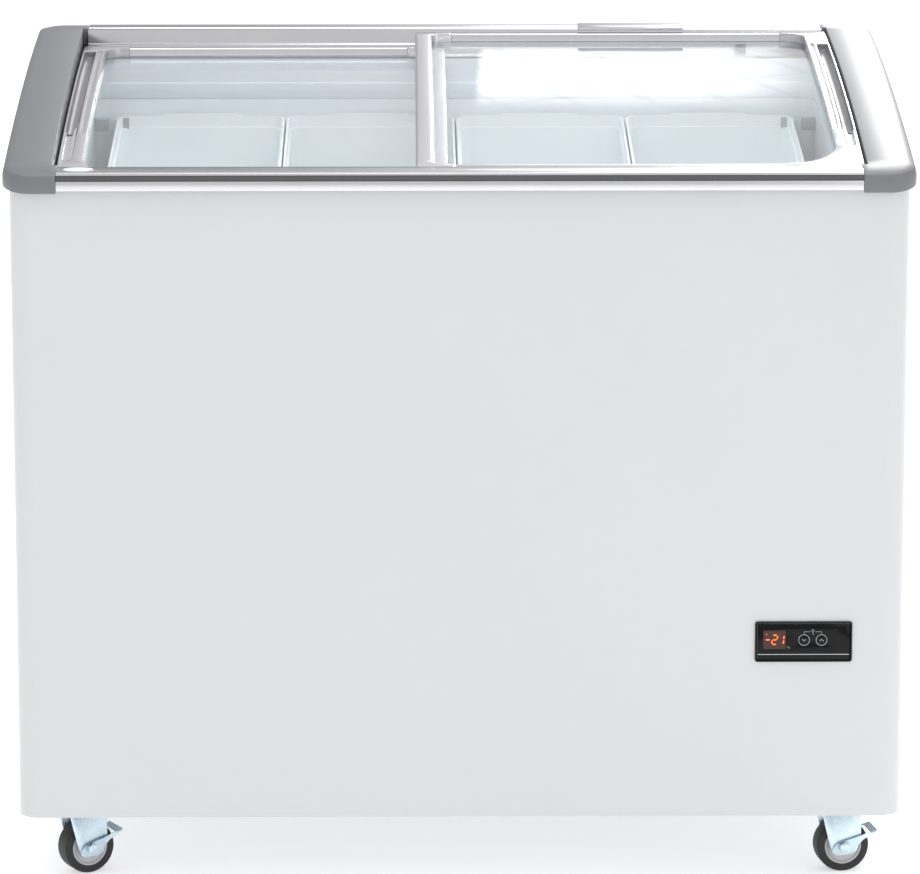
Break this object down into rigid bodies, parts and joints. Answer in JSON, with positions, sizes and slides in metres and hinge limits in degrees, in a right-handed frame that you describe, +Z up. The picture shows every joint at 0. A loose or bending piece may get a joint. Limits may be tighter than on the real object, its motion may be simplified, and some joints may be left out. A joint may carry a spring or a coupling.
{
  "type": "chest freezer",
  "caption": "Display chest freezer on swivel casters with a curved top closed by two sliding glass lids, lift-out baskets and a front control panel.",
  "frame": {"origin": "on the floor, at the centre of the footprint", "axes": "+X to the viewer's right along the cabinet's width, +Y to the back, +Z up"},
  "size_m": [1, 0.63, 0.9057],
  "materials": {
    "white_enamel": "satin",
    "galvanised_pan": "satin",
    "insulation": "matte",
    "liner_white": "satin",
    "copper": "satin",
    "cap_grey": "satin",
    "anodised_rail": "satin",
    "dark_strip": "satin",
    "rubber_black": "matte",
    "support_grey": "matte",
    "black_enamel": "satin",
    "condenser_fins": "satin",
    "black_plastic": "matte",
    "motor_steel": "satin",
    "fan_white": "satin",
    "panel_black": "gloss",
    "circuit_green": "satin",
    "grille_grey": "satin",
    "zinc_plate": "satin",
    "lid_glass": "gloss",
    "lid_rail": "satin",
    "stile_grey": "satin",
    "basket_frosted": "satin",
    "hub_grey": "satin",
    "tyre_black": "matte",
    "drain_white": "satin"
  },
  "bodies": {
    "cabinet": {"outer_wrapper": "white_enamel", "rear_panel": "white_enamel", "base_pan": "galvanised_pan", "insulation_foam": "insulation", "inner_liner": "liner_white", "evaporator_tube": "copper", "liner_collar": "liner_white", "left_end_cap": "cap_grey", "right_end_cap": "cap_grey", "front_rail": "anodised_rail", "front_rail_strip": "dark_strip", "rear_rail": "anodised_rail", "lid_keeper": "anodised_rail", "lid_stops": "rubber_black", "basket_supports": "support_grey", "compressor": "black_enamel", "compressor_feet": "rubber_black", "condenser": "condenser_fins", "fan_shroud": "black_plastic", "fan_motor": "motor_steel", "refrigerant_pipes": "copper", "control_bezel": "panel_black", "control_lens": "panel_black", "control_board": "circuit_green", "side_grille": "grille_grey", "rear_grille": "galvanised_pan", "cord_inlet": "black_plastic", "drain_tube": "drain_white", "cabinet_screws": "zinc_plate", "caster_plates": "zinc_plate"},
    "left_lid": {"left_lid_glass": "lid_glass", "left_lid_rails": "lid_rail", "left_lid_handle_stile": "stile_grey", "left_lid_meeting_stile": "lid_rail"},
    "right_lid": {"right_lid_glass": "lid_glass", "right_lid_rails": "lid_rail", "right_lid_handle_stile": "stile_grey", "right_lid_meeting_stile": "lid_rail"},
    "fan": {"fan_blade": "fan_white"},
    "down_key": {"key_down": "panel_black"},
    "up_key": {"key_up": "panel_black"},
    "drain_stopper": {"drain_plug": "rubber_black"},
    "basket_1_bin": {"basket_1": "basket_frosted"},
    "basket_2_bin": {"basket_2": "basket_frosted"},
    "basket_3_bin": {"basket_3": "basket_frosted"},
    "basket_4_bin": {"basket_4": "basket_frosted"},
    "caster_front_left": {"fork_front_left": "zinc_plate"},
    "wheel_front_left": {"hub_front_left": "hub_grey", "tyre_front_left": "tyre_black"},
    "caster_front_right": {"fork_front_right": "zinc_plate"},
    "wheel_front_right": {"hub_front_right": "hub_grey", "tyre_front_right": "tyre_black"},
    "caster_rear_left": {"fork_rear_left": "zinc_plate"},
    "wheel_rear_left": {"hub_rear_left": "hub_grey", "tyre_rear_left": "tyre_black"},
    "caster_rear_right": {"fork_rear_right": "zinc_plate"},
    "wheel_rear_right": {"hub_rear_right": "hub_grey", "tyre_rear_right": "tyre_black"},
    "brake_left": {"brake_pedal_left": "zinc_plate"},
    "brake_right": {"brake_pedal_right": "zinc_plate"}
  },
  "joints": [
    {"name": "left_lid_slide", "type": "slide", "parent": "cabinet", "child": "left_lid", "axis": [1, 0, 0], "range_m": [0, 0.35]},
    {"name": "right_lid_slide", "type": "slide", "parent": "cabinet", "child": "right_lid", "axis": [-1, 0, 0], "range_m": [0, 0.39]},
    {"name": "basket_1_lift", "type": "slide", "parent": "cabinet", "child": "basket_1_bin", "axis": [0, 0, 1], "range_m": [0, 0.05]},
    {"name": "basket_2_lift", "type": "slide", "parent": "cabinet", "child": "basket_2_bin", "axis": [0, 0, 1], "range_m": [0, 0.05]},
    {"name": "basket_3_lift", "type": "slide", "parent": "cabinet", "child": "basket_3_bin", "axis": [0, 0, 1], "range_m": [0, 0.05]},
    {"name": "basket_4_lift", "type": "slide", "parent": "cabinet", "child": "basket_4_bin", "axis": [0, 0, 1], "range_m": [0, 0.05]},
    {"name": "fan_spin", "type": "hinge", "parent": "cabinet", "child": "fan", "pos_m": [0.403, -0.13, 0.21], "axis": [1, 0, 0], "continuous": true},
    {"name": "down_key_press", "type": "slide", "parent": "cabinet", "child": "down_key", "axis": [0, 1, 0], "range_m": [0, 0.0006], "stiffness_N_per_m": 300},
    {"name": "up_key_press", "type": "slide", "parent": "cabinet", "child": "up_key", "axis": [0, 1, 0], "range_m": [0, 0.0006], "stiffness_N_per_m": 300},
    {"name": "drain_plug_lift", "type": "slide", "parent": "cabinet", "child": "drain_stopper", "axis": [0, 0, 1], "range_m": [0, 0.03]},
    {"name": "swivel_front_left", "type": "hinge", "parent": "cabinet", "child": "caster_front_left", "pos_m": [-0.428, -0.225, 0.078], "axis": [0, 0, 1], "continuous": true},
    {"name": "roll_front_left", "type": "hinge", "parent": "caster_front_left", "child": "wheel_front_left", "pos_m": [-0.42358, -0.22265, 0.03], "axis": [-0.4695, 0.8829, 0], "continuous": true},
    {"name": "brake_left_press", "type": "hinge", "parent": "caster_front_left", "child": "brake_left", "pos_m": [-0.42358, -0.22265, 0.03], "axis": [-0.4695, 0.8829, 0], "range_deg": [0, 16]},
    {"name": "swivel_front_right", "type": "hinge", "parent": "cabinet", "child": "caster_front_right", "pos_m": [0.428, -0.225, 0.078], "axis": [0, 0, 1], "continuous": true},
    {"name": "roll_front_right", "type": "hinge", "parent": "caster_front_right", "child": "wheel_front_right", "pos_m": [0.43292, -0.22413, 0.03], "axis": [-0.1736, 0.9848, 0], "continuous": true},
    {"name": "brake_right_press", "type": "hinge", "parent": "caster_front_right", "child": "brake_right", "pos_m": [0.43292, -0.22413, 0.03], "axis": [-0.1736, 0.9848, 0], "range_deg": [0, 16]},
    {"name": "swivel_rear_left", "type": "hinge", "parent": "cabinet", "child": "caster_rear_left", "pos_m": [-0.428, 0.225, 0.078], "axis": [0, 0, 1], "continuous": true},
    {"name": "roll_rear_left", "type": "hinge", "parent": "caster_rear_left", "child": "wheel_rear_left", "pos_m": [-0.4327, 0.22671, 0.03], "axis": [-0.342, -0.9397, 0], "continuous": true},
    {"name": "swivel_rear_right", "type": "hinge", "parent": "cabinet", "child": "caster_rear_right", "pos_m": [0.428, 0.225, 0.078], "axis": [0, 0, 1], "continuous": true},
    {"name": "roll_rear_right", "type": "hinge", "parent": "caster_rear_right", "child": "wheel_rear_right", "pos_m": [0.4321, 0.22213, 0.03], "axis": [0.5736, 0.8192, 0], "continuous": true}
  ]
}
